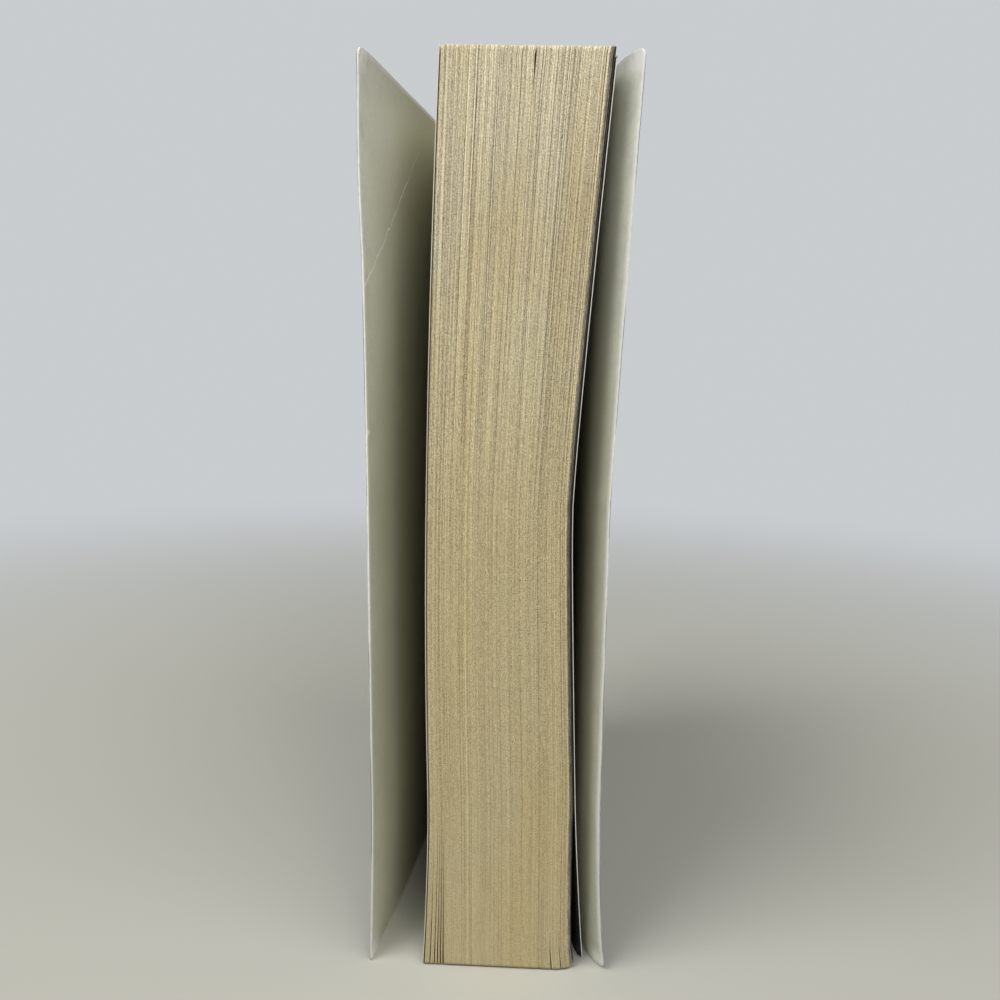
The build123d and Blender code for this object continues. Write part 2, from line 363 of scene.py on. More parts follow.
class Shader:
    """A material and short calls for the nodes that it is made of."""

    def __init__(self, name, roughness, specular):
        self.material = bpy.data.materials.new(name)
        self.material.use_nodes = True
        self.tree = self.material.node_tree
        self.surface = self.tree.nodes["Principled BSDF"]
        self.surface.inputs["Roughness"].default_value = roughness
        self.surface.inputs["Specular IOR Level"].default_value = specular

    def put(self, value, socket):
        """Links an output to a socket, or sets the socket's value."""
        if isinstance(value, bpy.types.NodeSocket):
            self.tree.links.new(value, socket)
        elif isinstance(value, tuple) and len(value) == 3 and len(socket.default_value) == 4:
            socket.default_value = (*value, 1)
        else:
            socket.default_value = value

    def node(self, kind, *values, **settings):
        """Adds a node with its settings, and fills its first inputs."""
        made = self.tree.nodes.new("ShaderNode" + kind)
        for name, value in settings.items():
            setattr(made, name, value)
        for value, socket in zip(values, made.inputs):
            self.put(value, socket)
        return made

    def math(self, operation, *values):
        """The result of one operation on numbers."""
        return self.node("Math", *values, operation=operation).outputs[0]

    def place(self):
        """The place that the mesh stores for each point, in millimetres."""
        return self.node("Attribute", attribute_name="place").outputs["Vector"]

    def stored(self, name):
        """A number that the mesh stores for each point."""
        return self.node("Attribute", attribute_name=name).outputs["Fac"]

    def object_place(self):
        """The place in the object's own frame, in metres."""
        return self.node("TexCoord").outputs["Object"]

    def split(self, vector):
        """The three parts of a vector."""
        return self.node("SeparateXYZ", vector).outputs

    def noise(self, vector, waves, detail=2.0, roughness=0.5):
        """Noise from 0 to 1, with so many waves to a unit along each axis."""
        scaled = self.node("VectorMath", vector, waves, operation="MULTIPLY").outputs[0]
        made = self.node("TexNoise")
        self.put(scaled, made.inputs["Vector"])
        made.inputs["Scale"].default_value = 1.0
        made.inputs["Detail"].default_value = detail
        made.inputs["Roughness"].default_value = roughness
        return made.outputs["Fac"]

    def swing(self, base, noise, amount):
        """The base, moved up and down by a noise."""
        return self.math("MULTIPLY_ADD", self.math("SUBTRACT", noise, 0.5), amount, base)

    def fade(self, value, start, end, low=0.0, high=1.0):
        """Goes smoothly from low to high as value goes from start to end."""
        made = self.node("MapRange", value, start, end, low, high, interpolation_type="SMOOTHSTEP")
        return made.outputs[0]

    def mix(self, share, first, second, blend_type="MIX"):
        """The first colour, with a share of the second in it."""
        made = self.node("Mix", data_type="RGBA", blend_type=blend_type)
        self.put(share, made.inputs[MIX_SHARE])
        self.put(first, made.inputs[MIX_FIRST])
        self.put(second, made.inputs[MIX_SECOND])
        return made.outputs[MIX_RESULT]

    def bright(self, colour, factor):
        """The colour times a factor."""
        grey = self.node("CombineColor", factor, factor, factor).outputs[0]
        return self.mix(1.0, colour, grey, "MULTIPLY")

    def bump(self, height, depth):
        """Surface relief, with its depth in millimetres."""
        made = self.node("Bump")
        made.inputs["Strength"].default_value = 1.0
        made.inputs["Distance"].default_value = depth * MM
        self.put(height, made.inputs["Height"])
        self.put(made.outputs["Normal"], self.surface.inputs["Normal"])

    def rough(self, value):
        """Sets the roughness, where it changes over the surface."""
        self.put(value, self.surface.inputs["Roughness"])

    def colour(self, value):
        """Sets the base colour, and gives the finished material."""
        self.put(value, self.surface.inputs["Base Color"])
        return self.material


def page_edge():
    """Trimmed edges of aged pulp paper: each leaf has its own tone, short streaks and grain, and the
    paper is browner and darker below, partly its own colour and partly painted shade. Painted light
    brightens the edges towards the head and paints a highlight along the head's rim, and the lowest
    half millimetre is darker. Long lines show more towards the head, where the leaves fan apart."""
    shader = Shader("page_edge", roughness=0.9, specular=0.15)
    place = shader.place()
    _, _, z = shader.split(place)
    streaks = shader.noise(place, (1.1, 0.3, 0.3), detail=3.0, roughness=0.6)
    lines = shader.noise(place, (1.1, 0.3, 0.012))
    fibres = shader.noise(place, (1.1, 3.0, 4.2), detail=2.0, roughness=0.6)
    stain = shader.noise(place, (0.012, 0.02, 0.018))
    pale = (0.52, 0.46, 0.322)
    yellowed_and_shaded = (0.437, 0.37, 0.215)
    aged = (0.43, 0.34, 0.165)
    # Paler towards the head, browner and darker below: partly the paper's own colour, partly painted
    # light from above
    base = shader.mix(shader.fade(z, 85.0, 160.0), yellowed_and_shaded, pale)
    base = shader.mix(shader.fade(stain, 0.45, 0.75, 0.0, 0.5), base, aged)
    lined = (50.0, 140.0)
    lift = shader.math("MULTIPLY", shader.stored("tone"), shader.fade(z, *lined, 0.06, 0.1))
    lift = shader.swing(lift, streaks, 0.5)
    lift = shader.swing(lift, lines, shader.fade(z, *lined, 0.42, 1.4))
    grain_below = shader.fade(z, 0.0, 60.0, 1.5, 2.2)
    grain_above = shader.fade(z, 100.0, 150.0, 2.2, 1.7)
    lift = shader.swing(lift, fibres, shader.math("MINIMUM", grain_below, grain_above))
    contrast = shader.fade(z, 0.0, 150.0, 0.9, 1.5)
    lift = shader.math("MULTIPLY_ADD", lift, contrast, 1.0)
    # Painted highlight along the head's rim, where the leaf tops catch the light
    head_rim_highlight = shader.fade(z, BOOK_HEIGHT - 1.0, BOOK_HEIGHT, 1.0, 1.35)
    # The lowest half millimetre of the edges is darker
    darker_tail_edge = shader.fade(z, TAIL_ROUND, TAIL_ROUND + 0.5, 0.45, 1.0)
    # Painted light: the edges brighten towards the head, as if lit from above
    painted_head_light = shader.fade(z, 150.0, BOOK_HEIGHT, 1.0, 1.15)
    for factor in (head_rim_highlight, darker_tail_edge, painted_head_light):
        lift = shader.math("MULTIPLY", lift, factor)
    shader.bump(fibres, depth=0.03)
    return shader.colour(shader.bright(base, lift))


def page_face():
    """Faces of the leaves, seen in slits and gaps: plain cream paper, browner near the trim."""
    shader = Shader("page_face", roughness=0.85, specular=0.0)
    place = shader.place()
    _, depth, _ = shader.split(place)
    fibres = shader.noise(place, (0.9, 0.8, 0.8), detail=3.0, roughness=0.6)
    cream = (0.62, 0.56, 0.42)
    brown = (0.33, 0.22, 0.09)
    base = shader.mix(shader.fade(depth, 0.0, 9.0), brown, cream)
    shader.bump(fibres, depth=0.02)
    return shader.colour(shader.bright(base, shader.fade(fibres, 0.2, 0.8, 0.92, 1.06)))


def loose_paper(name, shades, tail, middle, head):
    """Whiter paper of a loose outer leaf, whose edge near the fore-edge is mixed with a darker colour,
    keeping as much of the paper's colour at its tail, middle and head as the numbers say."""
    shader = Shader(name, roughness=0.8, specular=0.2)
    place = shader.place()
    _, depth, z = shader.split(place)
    fibres = shader.noise(place, (0.9, 0.7, 0.7), detail=3.0, roughness=0.6)
    cloud = shader.noise(place, (1.0, 0.03, 0.03))
    base = shader.mix(shader.fade(cloud, 0.35, 0.7), *shades)
    below = shader.fade(z, 15.0, 45.0, tail, middle)
    above = shader.fade(z, 100.0, 155.0, 0.0, head - middle)
    edge_share = shader.math("MAXIMUM", shader.math("ADD", below, above), shader.fade(depth, 0.5, 4.0))
    # The edge near the fore-edge is mixed with this darker colour, less where the numbers are higher
    darker_edge_colour = (0.13, 0.12, 0.085)
    base = shader.mix(edge_share, darker_edge_colour, base)
    shader.bump(fibres, depth=0.02)
    return shader.colour(shader.bright(base, shader.fade(fibres, 0.2, 0.8, 0.93, 1.05)))


def dark_edge():
    """Edges of leaves that are printed dark out to the trim, with paler stretches."""
    shader = Shader("dark_edge", roughness=0.75, specular=0.1)
    place = shader.place()
    _, _, z = shader.split(place)
    streaks = shader.noise(place, (5.3, 0.4, 0.35), detail=3.0, roughness=0.6)
    fibres = shader.noise(place, (2.1, 3.0, 2.6))
    paler = shader.math("MULTIPLY", shader.stored("tone"), shader.fade(streaks, 0.3, 0.66, 0.5, 1.15))
    near_head = shader.fade(z, 60.0, 150.0, 0.45, 0.8)
    near_tail = shader.fade(z, 40.0, 5.0, 0.45, 1.0)
    paler = shader.math("MULTIPLY", paler, shader.math("MAXIMUM", near_head, near_tail))
    ink = (0.012, 0.011, 0.009)
    paper = (0.42, 0.38, 0.29)
    base = shader.mix(paler, ink, paper)
    shader.bump(fibres, depth=0.03)
    return shader.colour(shader.bright(base, shader.fade(fibres, 0.2, 0.8, 0.7, 1.3)))


def ink_and_gap_shade():
    """Faces of the last leaves, covered with dark ink, with faint paper fibres. The dark is partly ink
    and partly painted shade of the deep gaps where these faces show.
    """
    shader = Shader("ink_and_gap_shade", roughness=0.6, specular=0.25)
    fibres = shader.noise(shader.place(), (0.9, 0.8, 0.8), detail=3.0, roughness=0.6)
    ink = (0.012, 0.012, 0.013)
    thin_ink = (0.03, 0.03, 0.03)
    shader.bump(fibres, depth=0.02)
    return shader.colour(shader.mix(shader.fade(fibres, 0.3, 0.7), ink, thin_ink))


def card_edge():
    """Cut and worn edge of the card: a white core, greyer towards the tail, with dark specks and a dark
    line where the skin of the outside is left."""
    shader = Shader("card_edge", roughness=0.85, specular=0.2)
    place = shader.place()
    _, z, _ = shader.split(place)
    rub = shader.noise(place, (0.8, 0.8, 0.35), detail=4.0, roughness=0.65)
    specks = shader.noise(place, (2.2, 2.2, 1.1))
    stretches = shader.noise(place, (0.05, 0.045, 1.0))
    white = (0.8, 0.8, 0.76)
    rubbed = (0.7, 0.7, 0.65)
    grey = (0.36, 0.36, 0.29)
    dark = (0.06, 0.065, 0.08)
    base = shader.mix(shader.fade(rub, 0.35, 0.65), rubbed, white)
    base = shader.mix(shader.fade(z, 20.0, 110.0, 0.6, 0.0), base, grey)
    kept = shader.fade(stretches, 0.58, 0.42, 0.15, 0.9)
    skin = shader.math("MULTIPLY", shader.fade(shader.stored("across"), 0.45, 0.2), kept)
    dirt = shader.math("MAXIMUM", skin, shader.fade(specks, 0.7, 0.76, 0.0, 0.5))
    shader.bump(rub, depth=0.02)
    return shader.colour(shader.mix(dirt, base, dark))


def end_distance(shader, z):
    """How far a point of a cover is from the nearer of its head and its tail, in millimetres."""
    return shader.math("MINIMUM", z, shader.math("SUBTRACT", BOOK_HEIGHT, z))


def free_edge_distance(shader, place):
    """How far a point of a cover is from the nearest of its three free edges, in millimetres."""
    depth, z, _ = shader.split(place)
    return shader.math("MINIMUM", depth, end_distance(shader, z))


def on_front(shader, side, value):
    """The value on the front cover, and 0 elsewhere."""
    return shader.math("MULTIPLY", value, shader.math("LESS_THAN", side, 0.0))


def crease_line(shader, place, width):
    """1 along the crease across the front cover's head corner, which wavers a little, 0 away from it."""
    depth, z, side = shader.split(place)
    waver = shader.noise(place, (0.22, 0.22, 1.0), detail=3.0)
    above = shader.math("MULTIPLY_ADD", depth, -CREASE_SLOPE, shader.math("SUBTRACT", z, CREASE_HEIGHT))
    above = shader.swing(above, waver, CREASE_WAVER)
    line = shader.fade(shader.math("ABSOLUTE", above), width, width / 3)
    line = shader.math("MULTIPLY", line, shader.fade(depth, *CREASE_FADE, 1.0, 0.0))
    return on_front(shader, side, line)


def corner_wear_and_highlight(shader, place, rub):
    """How far the card turns white at its corners, partly wear and partly painted highlight, and faintly
    along its free edges, a painted highlight where they catch the light.
    """
    depth, z, _ = shader.split(place)
    ends = end_distance(shader, z)
    squares = shader.math("MULTIPLY_ADD", depth, depth, shader.math("MULTIPLY", ends, ends))
    corner = shader.swing(shader.math("SQRT", squares), rub, 3.0)
    tip = shader.fade(corner, 6.0, 1.2, 0.0, 0.9)
    # Painted highlight along the free edges
    rim = shader.fade(shader.math("MINIMUM", depth, ends), 1.2, 0.3, 0.0, 0.5)
    return shader.math("MAXIMUM", tip, rim)


def nick_spot(shader, place):
    """1 where the front cover's fore-edge is nicked and its white core shows."""
    depth, z, side = shader.split(place)
    along = shader.math("SUBTRACT", z, NICK_HEIGHT)
    inward = shader.math("SUBTRACT", depth, NICK_WIDTH)
    squares = shader.math("MULTIPLY_ADD", along, along, shader.math("MULTIPLY", inward, inward))
    return on_front(shader, side, shader.fade(squares, NICK_WIDTH**2, NICK_WIDTH**2 / 4))


def cover_inside():
    """Uncoated inside of the card: off-white, paler near the head as painted light from above, and
    darker and yellower towards the hinge, partly its own yellowing and partly painted shade of the
    gutter. Softly mottled and soiled towards its edges. At its crease and corners, and faintly along
    its free edges, it turns white, partly worn through to the white core and partly painted
    highlight; at its nick the core shows."""
    shader = Shader("cover_inside", roughness=0.72, specular=0.25)
    place = shader.place()
    depth, z, _ = shader.split(place)
    cloud = shader.noise(place, (0.03, 0.03, 1.0), detail=3.0)
    fibres = shader.noise(place, (1.3, 1.3, 1.0), detail=3.0, roughness=0.6)
    rub = shader.noise(place, (0.3, 0.3, 1.0), detail=4.0, roughness=0.6)
    specks = shader.noise(place, (0.9, 0.9, 1.0), detail=1.0)
    off_white = (0.48, 0.48, 0.375)
    pale = (0.61, 0.615, 0.535)
    yellowed_and_shaded = (0.4, 0.39, 0.27)
    dirt = (0.3, 0.3, 0.26)
    core = (0.78, 0.78, 0.74)
    # Painted light: paler near the head, as if lit from above
    base = shader.mix(shader.fade(z, 90.0, 168.0), off_white, pale)
    base = shader.bright(base, shader.fade(cloud, 0.3, 0.7, 0.95, 1.06))
    # Darker and yellower towards the hinge: partly yellowing of the card, partly painted shade of the
    # gutter
    base = shader.mix(shader.fade(depth, 0.0, 45.0), base, yellowed_and_shaded)
    near_edge = shader.fade(free_edge_distance(shader, place), 8.0, 0.3)
    soiled = shader.math("MULTIPLY", near_edge, shader.fade(rub, 0.4, 0.75, 0.0, 0.3))
    soiled = shader.math("MAXIMUM", soiled, shader.fade(specks, 0.73, 0.78, 0.0, 0.3))
    base = shader.mix(soiled, base, dirt)
    broken = shader.fade(rub, 0.36, 0.5, 0.25, 0.9)
    # Crease line, corners and free edges turn white, partly worn to the core and partly painted
    # highlight; the nick is bare core
    wear_and_highlight = shader.math("MULTIPLY", crease_line(shader, place, width=0.32), broken)
    wear_and_highlight = shader.math("MAXIMUM", wear_and_highlight, corner_wear_and_highlight(shader, place, rub))
    wear_and_highlight = shader.math("MAXIMUM", wear_and_highlight, nick_spot(shader, place))
    base = shader.mix(wear_and_highlight, base, core)
    shader.bump(fibres, depth=0.02)
    return shader.colour(shader.bright(base, shader.fade(fibres, 0.2, 0.8, 0.95, 1.04)))


def cover_outside():
    """Laminated dark blue card, rubbed through to white along its edges, folds and creases."""
    shader = Shader("cover_outside", roughness=0.32, specular=0.5)
    place = shader.place()
    rub = shader.noise(place, (0.5, 0.3, 1.0), detail=3.0, roughness=0.55)
    cloud = shader.noise(place, (0.02, 0.02, 1.0), detail=3.0)
    scratches = shader.noise(place, (0.08, 2.4, 1.0), detail=4.0, roughness=0.7)
    lengths = shader.noise(place, (0.3, 0.035, 1.0), detail=3.0)
    blue = (0.017, 0.022, 0.06)
    faded_blue = (0.026, 0.033, 0.082)
    scratched = (0.1, 0.11, 0.16)
    core = (0.66, 0.66, 0.63)
    base = shader.mix(shader.fade(cloud, 0.3, 0.7), blue, faded_blue)
    base = shader.mix(shader.fade(scratches, 0.62, 0.72, 0.0, 0.3), base, scratched)
    reach = shader.math("MULTIPLY_ADD", rub, 1.9, -0.8)
    inward = shader.math("SUBTRACT", free_edge_distance(shader, place), reach)
    folds = shader.math("POWER", shader.stored("crease"), 3.0)
    crease = shader.math("MAXIMUM", folds, crease_line(shader, place, width=0.4))
    split = shader.math("MULTIPLY", crease, shader.fade(lengths, 0.4, 0.66, 0.1, 0.6))
    white = shader.math("MAXIMUM", shader.fade(inward, 0.5, 0.0), split)
    shader.rough(shader.math("MULTIPLY_ADD", white, 0.45, shader.fade(scratches, 0.4, 0.75, 0.28, 0.46)))
    shader.bump(shader.math("SUBTRACT", scratches, white), depth=0.02)
    return shader.colour(shader.mix(white, base, core))


def hot_glue():
    """Cloudy ivory binding glue."""
    shader = Shader("hot_glue", roughness=0.4, specular=0.45)
    cloud = shader.noise(shader.object_place(), (120.0, 120.0, 120.0), detail=3.0)
    ivory = (0.6, 0.52, 0.34)
    pale_ivory = (0.68, 0.62, 0.46)
    shader.bump(cloud, depth=0.05)
    return shader.colour(shader.mix(shader.fade(cloud, 0.3, 0.7), ivory, pale_ivory))


# Page block

# Heights of a leaf's points, and their places from the hinge to the fore-edge as shares
LEAF_HEIGHTS = np.concatenate([
    np.linspace(0, TAIL_FAN_HEIGHT, 9),
    (46, 56, 66, 76, 84, 90, 96, 102, 108, 117, 127, 137, 148, 158),
    (164, 169, 173, 176.4, BOOK_HEIGHT),
])
LEAF_SHARES = np.array([0.0, 0.4, 0.7, 0.88, 0.96, 0.985, 1.0])


def leaves(name, x_bound, x_fore, y_fore, thickness, heights, first_number, materials, shift=0.0):
    """Leaves as closed slabs. x_bound has one place to each leaf, and x_fore, y_fore and heights one
    to each leaf and level. shift moves a leaf aside near the fore-edge alone, where slits open. The
    materials know a leaf by its number, which counts up from the first."""
    count, levels = x_fore.shape
    share = LEAF_SHARES[None, :, None]
    x = x_bound[:, None, None] + (x_fore - x_bound[:, None])[:, None, :] * share**LEAF_BEND
    x = x + np.broadcast_to(shift, x_fore.shape)[:, None, :] * share**SLIT_CLOSING
    y = HINGE_Y + (y_fore - HINGE_Y)[:, None, :] * share
    x = np.concatenate([x[:, :1], x], axis=1)
    y = np.concatenate([np.full((count, 1, levels), SPINE_Y), y], axis=1)
    z = np.repeat(heights[:, None, :], x.shape[1], axis=1)
    z[:, -1, 0] += TAIL_ROUND
    number = first_number + np.arange(count)[:, None, None]
    side_a = grid(x - thickness / 2, y, z)
    side_b = grid(x + thickness / 2, y, z)
    return slabs(name, side_a, side_b, materials, grid(number, y - FORE_Y, z))


def stack_places(start, gaps):
    """The middle of each leaf at the fore-edge, counted up from the first."""
    steps = np.cumsum(LEAF_THICKNESS + gaps, axis=0)
    return start + LEAF_THICKNESS / 2 + np.concatenate([np.zeros((1, gaps.shape[1])), steps])


def bundle_gaps(z):
    """How much wider than the rest the gaps are where one bundle of leaves ends and the next begins."""
    ends = np.cumsum(random.integers(*BUNDLE_LEAVES, LEAVES))
    ends = ends[ends < LEAVES - DARK_LEAVES]
    wider = np.zeros((LEAVES - 1, len(z)))
    wider[ends] = BUNDLE_GAP * np.exp(BUNDLE_UNEVENNESS * wander(len(ends), z, BUNDLE_RUN))
    head = np.where(z > WAIST_HEIGHT, end_share(z, BUNDLE_OPENING_CURVE), 0)
    opening = BUNDLE_WAIST + (1 - BUNDLE_WAIST) * head
    across = np.linspace(0, 1, LEAVES - 1)[:, None] ** BUNDLE_FAN_CURVE
    return wider * opening * (1 + BUNDLE_FAN * across * head)


def wide_gaps(z):
    """Widths of the slits at the tail, the crack at the head and the gap before the last dark pair."""
    wide = np.zeros((LEAVES - 1, len(z)))
    for share, width in TAIL_SLITS:
        wide[int(share * LEAVES)] += width * tail_share(z)
    for share, width in SHORT_SLITS:
        wide[int(share * LEAVES)] += width * np.clip(1 - z / SHORT_SLIT_HEIGHT, 0, None)
    share, width = HEAD_CRACK
    crack = np.clip((z - BOOK_HEIGHT) / HEAD_CRACK_HEIGHT + 1, 0, None)
    wide[int(share * LEAVES)] += width * np.where(z < BOOK_HEIGHT, crack, HEAD_CRACK_END)
    wide[-DARK_PAIR] += DARK_SLIT * (1 - tail_share(z))
    upper = (z > WAIST_HEIGHT) & (z < BOOK_HEIGHT)
    wide[-DARK_PAIR] += DARK_HEAD_SLIT * np.where(upper, end_share(z, 1), 0)
    return wide


def stack_end(z):
    """Where the stack ends at the fore-edge: tucked in near the tail, and flared at its foot."""
    end = last_x(z) + STACK_SPREAD - STACK_TAIL_TUCK * np.sqrt(tail_share(z))
    return end + STACK_TAIL_FLARE * np.exp(-z / STACK_FLARE_HEIGHT)


def stack_gaps(z):
    """The share of the stack's free room that each gap between two leaves takes."""
    gaps = np.exp(GAP_UNEVENNESS * wander(LEAVES - 1, z, GAP_RUN)) * (1 + bundle_gaps(z))
    return gaps / gaps.sum(0)


def leaf_trim(z):
    """How far each leaf lies behind the fore-edge: all a little, a few deeper, the first in a groove."""
    own = np.abs(random.normal(0, TRIM_SWAY, (LEAVES, 1)))
    trim = own + TRIM_WANDER * np.abs(wander(LEAVES, z, TRIM_RUN))
    deep = random.random((LEAVES, 1)) < DEEP_SHARE
    trim += DEEP_TRIM * deep * random.random((LEAVES, 1))
    trim[:GROOVE_LEAVES] += GROOVE_DEPTH
    return trim


def leaf_levels(z, inward):
    """The heights of each leaf's points, uneven at the head and the tail, and rounded at the foot by how
    far inward from the stack's end a leaf lies."""
    levels = np.repeat(z[None], LEAVES, axis=0)
    levels[:, -1] -= np.abs(random.normal(0, HEAD_SWAY, LEAVES))
    levels[:, 0] += np.abs(random.normal(0, TAIL_SWAY, LEAVES))
    levels[:, 0] += round_off(TAIL_CORNER_ROUND, inward)
    return levels


def leaf_stack():
    """The glued stack of leaves, fanned by uneven gaps, with its slits, its crack and its dark end."""
    z = LEAF_HEIGHTS
    start = first_x(z) + FIRST_LEAF_SPACE
    end = stack_end(z)
    room = end - start - LEAVES * LEAF_THICKNESS
    wide = wide_gaps(z)
    gaps = stack_gaps(z)
    closed = stack_places(start, gaps * room)
    opened = stack_places(start, gaps * (room - wide.sum(0)) + wide)
    y_fore = FORE_Y + corner_wear(opened, z) + leaf_trim(z)
    levels = leaf_levels(z, end[0] - opened[:, 0])
    pitch = 2 * SIDE_X / LEAVES
    x_bound = -SIDE_X + pitch * (np.arange(LEAVES) + 0.5)
    first_dark = LEAVES - DARK_LEAVES
    kinds = (
        ("leaf_stack", slice(0, first_dark), page_face(), page_edge()),
        ("dark_leaves", slice(first_dark, LEAVES), ink_and_gap_shade(), dark_edge()),
    )
    made = []
    for name, part, face, edge in kinds:
        piece, faces, groups = leaves(
            name, x_bound[part], closed[part], y_fore[part], LEAF_THICKNESS, levels[part],
            part.start, (face, face, edge), (opened - closed)[part],
        )
        edge_map(piece, part.stop - part.start, len(LEAF_SHARES) + 1, z, faces, groups)
        made.append(piece)
    return made


def mixed_tones(count):
    """A tone to each leaf: its own, and one that it shares with its neighbours."""
    own = random.normal(size=count)
    drawn = random.normal(size=count + SHARED_LEAVES - 1)
    shared = np.convolve(drawn, np.ones(SHARED_LEAVES) / math.sqrt(SHARED_LEAVES), mode="valid")
    return OWN_TONE * own + SHARED_TONE * shared


def store_tones(piece, tones):
    """Stores a tone to each leaf of a piece, for its material."""
    per_leaf = len(piece.data.vertices) // 2 // len(tones)
    add_float(piece, "tone", np.repeat(tones, per_leaf))


def loose_leaves():
    """The loose first leaf and the last one, which flares away from the stack at the tail."""
    z = LEAF_HEIGHTS
    first_paper = loose_paper("first_paper", FIRST_LEAF_PAPER, *FIRST_LEAF_EDGE_SHARE)
    last_paper = loose_paper("last_paper", LAST_LEAF_PAPER, *LAST_LEAF_EDGE_SHARE)
    half = FIRST_LEAF_THICKNESS / 2
    first, _, _ = leaves(
        "first_leaf", np.array([-SIDE_X + half]), first_x(z)[None] + half, np.full((1, len(z)), FORE_Y),
        FIRST_LEAF_THICKNESS, z[None], 0, (first_paper, first_paper, first_paper),
    )
    half = LAST_LEAF_THICKNESS / 2
    lying = stack_end(z) + LAST_LEAF_GAP - STACK_SPREAD
    turned_out = last_x(z) + LAST_LEAF_GAP + LAST_LEAF_FLARE * tail_share(z) - lying
    last_y = FORE_Y + LAST_LEAF_RECESS * tail_share(z)
    last_z = z.copy()
    last_z[-1] -= LAST_LEAF_DROP
    # The last leaf's inner side is dark, partly ink and partly painted shade of the gap beside the stack
    last, _, _ = leaves(
        "last_leaf", np.array([SIDE_X - half]), lying[None] + half, last_y[None], LAST_LEAF_THICKNESS,
        last_z[None], LEAVES, (ink_and_gap_shade(), last_paper, last_paper), turned_out[None],
    )
    return first, last


# Covers

# Places of a cover's points from the score to the fore-edge, and their heights, closer at the edges
COVER_DEPTHS = np.concatenate([
    (-5.9, -4.5, -3.2, -2.0, -1.3, -0.9, -0.6, -0.4, -0.2),
    (0, 0.2, 0.4, 0.6, 0.9, 1.3, 2.0),
    np.arange(3, 102),
    (102.0, 102.4, 102.7, LEAF_REACH),
])
COVER_HEIGHTS = np.concatenate([
    (0, 0.1, 0.3, 0.6, 1.0, 1.5, 2.2),
    np.linspace(3.2, BOOK_HEIGHT - 3.2, 150),
    BOOK_HEIGHT - np.array([2.2, 1.5, 1.0, 0.6, 0.3, 0.1, 0]),
])


def corner_inset(z, corners):
    """How far the worn round corners hold the fore-edge back."""
    return round_off(corners["tail"], z) + round_off(corners["head"], BOOK_HEIGHT - z)


def crease_relief(depth, z):
    """How far the front cover's head corner bows out beyond its crease, which is pressed in."""
    rise = z - CREASE_HEIGHT - CREASE_SLOPE * depth
    above = rise / math.sqrt(1 + CREASE_SLOPE**2)
    bow = CORNER_BOW * np.sin(math.pi * np.clip(above / CORNER_SPAN, 0, 1)) ** 2
    return bow - CREASE_RIDGE * np.exp(-((above / CREASE_WIDTH) ** 2))


def cover_sheet(name, side, splay, curl, corners, creased, materials):
    """One side of the card cover: the strip glued beside the spine, the score and the flap. A creased
    cover has the crease across its head corner and the nick in its fore-edge."""
    depth = COVER_DEPTHS[:, None]
    z = COVER_HEIGHTS[None, :]
    inset = corner_inset(z, corners) + EDGE_WANDER * np.abs(wander(1, COVER_HEIGHTS, EDGE_RUN))
    if creased:
        inset = inset + NICK_DEPTH * np.exp(-(((z - NICK_HEIGHT) / NICK_WIDTH) ** 2))
    stand = cover_splay(z, splay)
    reach = np.sqrt(LEAF_REACH**2 - stand**2)
    share = np.clip(depth, 0, None) / LEAF_REACH * (1 - inset / LEAF_REACH)
    part, power = curl
    x = COVER_X + stand * ((1 - part) * share + part * share**power)
    y = HINGE_Y - reach * share - np.clip(depth, None, 0)
    slope = stand * (1 - part + part * power * share ** (power - 1)) / reach
    slope = np.where(depth < 0, 0, slope)
    length = np.sqrt(1 + slope**2)
    behind = LEAF_REACH * (1 - share) - inset * share
    score = np.broadcast_to(np.exp(-((depth / SCORE_WIDTH) ** 2)), x.shape)
    out = corners["curl"] * np.exp(-(behind + z) / CORNER_CURL_SPAN) - SCORE_DEPTH * score
    if creased:
        out = out + crease_relief(behind, z)
    outer, inner = (
        grid(side * (x + level / length), y + level * slope / length, z) for level in (out, out - CARD)
    )
    piece, _, _ = slabs(name, outer[None], inner[None], materials, grid(behind, z, float(side)))
    add_float(piece, "crease", score)
    return piece


def spine_section(fold):
    """The card's section round the spine at a fold radius: places across it and back from it."""
    turn = np.linspace(0, math.pi / 2, FOLD_STEPS)
    across = np.linspace(-SPINE_FLAT, SPINE_FLAT, SPINE_STEPS)[1:-1]
    x = np.concatenate([-SPINE_FLAT - fold * np.cos(turn), across, SPINE_FLAT + fold * np.sin(turn)])
    y = np.concatenate([fold * np.sin(turn), np.full(len(across), fold), fold * np.cos(turn)])
    return x[:, None], COVER_BACK_Y - FOLD_RADIUS - CARD + y[:, None]


def spine_panel(materials):
    """The card over the spine and round its two folds, with the creases that reading leaves."""
    z = np.linspace(0, BOOK_HEIGHT, SPINE_LEVELS)[None, :]
    outer_x, outer_y = spine_section(FOLD_RADIUS + CARD)
    inner_x, inner_y = spine_section(FOLD_RADIUS)
    crease = np.zeros((len(outer_x), SPINE_LEVELS))
    for share in SPINE_CREASES:
        line = share * SPINE_FLAT + SPINE_CREASE_BEND * wander(1, z[0], SPINE_CREASE_RUN)
        crease = np.maximum(crease, np.exp(-(((outer_x - line) / SPINE_CREASE_WIDTH) ** 2)))
    groove = SPINE_CREASE_DEPTH * crease
    outer = grid(outer_x, outer_y - groove, z)
    inner = grid(inner_x, inner_y - groove, z)
    places = grid(SPINE_PLACE + outer_x, z, 0.0)
    piece, _, _ = slabs("spine_panel", outer[None], inner[None], materials, places)
    fold = np.clip((np.abs(outer_x) - SPINE_FLAT) / (FOLD_RADIUS + CARD), 0, 1)
    add_float(piece, "crease", np.maximum(crease, np.sin(math.pi * fold)))
    return piece


# Put the leaves and the spine panel on the pages' body, and the cover sheets in place of the CAD covers

